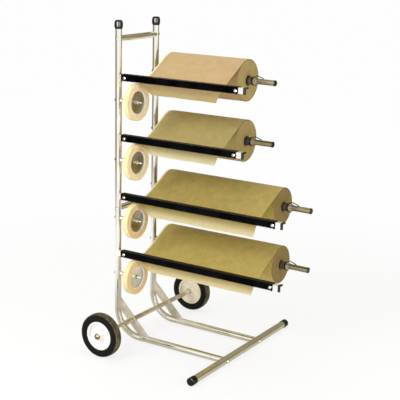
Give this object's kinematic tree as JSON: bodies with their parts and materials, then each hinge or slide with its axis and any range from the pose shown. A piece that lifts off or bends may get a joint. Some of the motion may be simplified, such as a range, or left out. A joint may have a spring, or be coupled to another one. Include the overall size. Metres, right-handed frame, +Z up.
{
  "type": "masking paper dispenser",
  "caption": "Wheeled steel tube stand that carries rolls of masking paper on side shafts, each with a toothed cutter bar and a tape roll that follows the paper.",
  "frame": {"origin": "on the floor, at the centre of the outline in plan", "axes": "+Z up; +X along the paper shafts, away from the uprights and towards the cross foot; +Y from the cutter side to the paper roll side"},
  "size_m": [0.6644, 0.6422, 1.1161],
  "materials": {
    "zinc_tube": "zinc-plated steel tube, bright",
    "bright_steel": "bright plated steel",
    "axle_steel": "drawn steel rod and sleeves",
    "spring_steel": "dark oiled spring wire",
    "brass_cap": "yellow passivated push cap",
    "tyre_rubber": "charcoal rubber, matt",
    "hub_white": "white enamelled steel hub",
    "hub_zinc": "pearly zinc-plated steel hub",
    "black_cap": "black soft plastic",
    "black_rubber": "black smooth rubber",
    "blade_black": "black semi-gloss blade",
    "bush_plastic": "dark moulded bush",
    "kraft_light": "light tan kraft paper",
    "kraft_brown": "olive brown kraft paper",
    "tape_cream": "cream crepe tape",
    "tape_hub_grey": "grey-brown pressed hub",
    "tape_hub_pale": "pale pressed hub"
  },
  "bodies": {
    "root": {"near_frame_tube": "zinc_tube", "far_frame_tube": "zinc_tube", "top_crossbar": "zinc_tube", "middle_crossbar": "zinc_tube", "crossbar_bolts": "bright_steel", "cross_foot": "zinc_tube", "foot_caps": "black_cap", "upright_caps": "black_rubber", "leg_plugs": "bright_steel", "foot_bolts": "bright_steel", "near_brace": "zinc_tube", "far_brace": "zinc_tube", "axle_rod": "axle_steel", "axle_sleeves": "axle_steel", "wheel_washers": "bright_steel", "axle_caps": "brass_cap", "paper_shafts": "zinc_tube", "shaft_plugs": "bright_steel", "shaft_bolts": "bright_steel", "shaft_end_caps": "black_cap", "drag_washers": "black_rubber", "stop_collars": "bright_steel", "drag_springs": "spring_steel", "hitch_pins": "spring_steel", "tape_spindles": "bright_steel", "spindle_bolts": "bright_steel", "blade_screws": "bright_steel", "bar_end_caps": "black_cap", "cutter_bar_1": "bright_steel", "cutter_blade_1": "blade_black", "paper_web_1": "kraft_light", "cutter_bar_2": "bright_steel", "cutter_blade_2": "blade_black", "paper_web_2": "kraft_brown", "cutter_bar_3": "bright_steel", "cutter_blade_3": "blade_black", "paper_web_3": "kraft_brown", "cutter_bar_4": "bright_steel", "cutter_blade_4": "blade_black", "paper_web_4": "kraft_brown"},
    "near_wheel": {"near_wheel_tyre": "tyre_rubber", "near_wheel_hub": "hub_white"},
    "far_wheel": {"far_wheel_tyre": "tyre_rubber", "far_wheel_hub": "hub_zinc"},
    "paper_roll_1": {"paper_roll_1": "kraft_light", "core_bushes_1": "bush_plastic"},
    "tape_roll_1": {"tape_roll_1": "tape_cream", "tape_hub_1": "tape_hub_grey"},
    "paper_roll_2": {"paper_roll_2": "kraft_brown", "core_bushes_2": "bush_plastic"},
    "tape_roll_2": {"tape_roll_2": "tape_cream", "tape_hub_2": "tape_hub_grey"},
    "paper_roll_3": {"paper_roll_3": "kraft_brown", "core_bushes_3": "bush_plastic"},
    "tape_roll_3": {"tape_roll_3": "tape_cream", "tape_hub_3": "tape_hub_grey"},
    "paper_roll_4": {"paper_roll_4": "kraft_brown", "core_bushes_4": "bush_plastic"},
    "tape_roll_4": {"tape_roll_4": "tape_cream", "tape_hub_4": "tape_hub_pale"}
  },
  "joints": [
    {"name": "near_wheel_spin", "type": "hinge", "parent": "root", "child": "near_wheel", "pos_m": [-0.25095, -0.29, 0.0762], "axis": [0, 1, 0], "continuous": true},
    {"name": "far_wheel_spin", "type": "hinge", "parent": "root", "child": "far_wheel", "pos_m": [-0.25095, 0.271, 0.0762], "axis": [0, 1, 0], "continuous": true},
    {"name": "paper_roll_1_spin", "type": "hinge", "parent": "root", "child": "paper_roll_1", "pos_m": [-0.16695, 0.108, 0.9272], "axis": [1, 0, 0], "continuous": true},
    {"name": "tape_roll_1_spin", "type": "hinge", "parent": "root", "child": "tape_roll_1", "pos_m": [-0.24295, -0.108, 0.8487], "axis": [1, 0, 0], "continuous": true},
    {"name": "paper_roll_2_spin", "type": "hinge", "parent": "root", "child": "paper_roll_2", "pos_m": [-0.16695, 0.108, 0.7218], "axis": [1, 0, 0], "continuous": true},
    {"name": "tape_roll_2_spin", "type": "hinge", "parent": "root", "child": "tape_roll_2", "pos_m": [-0.24295, -0.108, 0.6433], "axis": [1, 0, 0], "continuous": true},
    {"name": "paper_roll_3_spin", "type": "hinge", "parent": "root", "child": "paper_roll_3", "pos_m": [-0.16695, 0.108, 0.5164], "axis": [1, 0, 0], "continuous": true},
    {"name": "tape_roll_3_spin", "type": "hinge", "parent": "root", "child": "tape_roll_3", "pos_m": [-0.24295, -0.108, 0.4379], "axis": [1, 0, 0], "continuous": true},
    {"name": "paper_roll_4_spin", "type": "hinge", "parent": "root", "child": "paper_roll_4", "pos_m": [-0.16695, 0.108, 0.311], "axis": [1, 0, 0], "continuous": true},
    {"name": "tape_roll_4_spin", "type": "hinge", "parent": "root", "child": "tape_roll_4", "pos_m": [-0.24295, -0.108, 0.236], "axis": [1, 0, 0], "continuous": true}
  ],
  "couplings": [
    {"joint": "tape_roll_1_spin", "follows": "paper_roll_1_spin", "ratio": 1.1403},
    {"joint": "tape_roll_2_spin", "follows": "paper_roll_2_spin", "ratio": 1.1565},
    {"joint": "tape_roll_3_spin", "follows": "paper_roll_3_spin", "ratio": 1.0274},
    {"joint": "tape_roll_4_spin", "follows": "paper_roll_4_spin", "ratio": 1.0532}
  ]
}
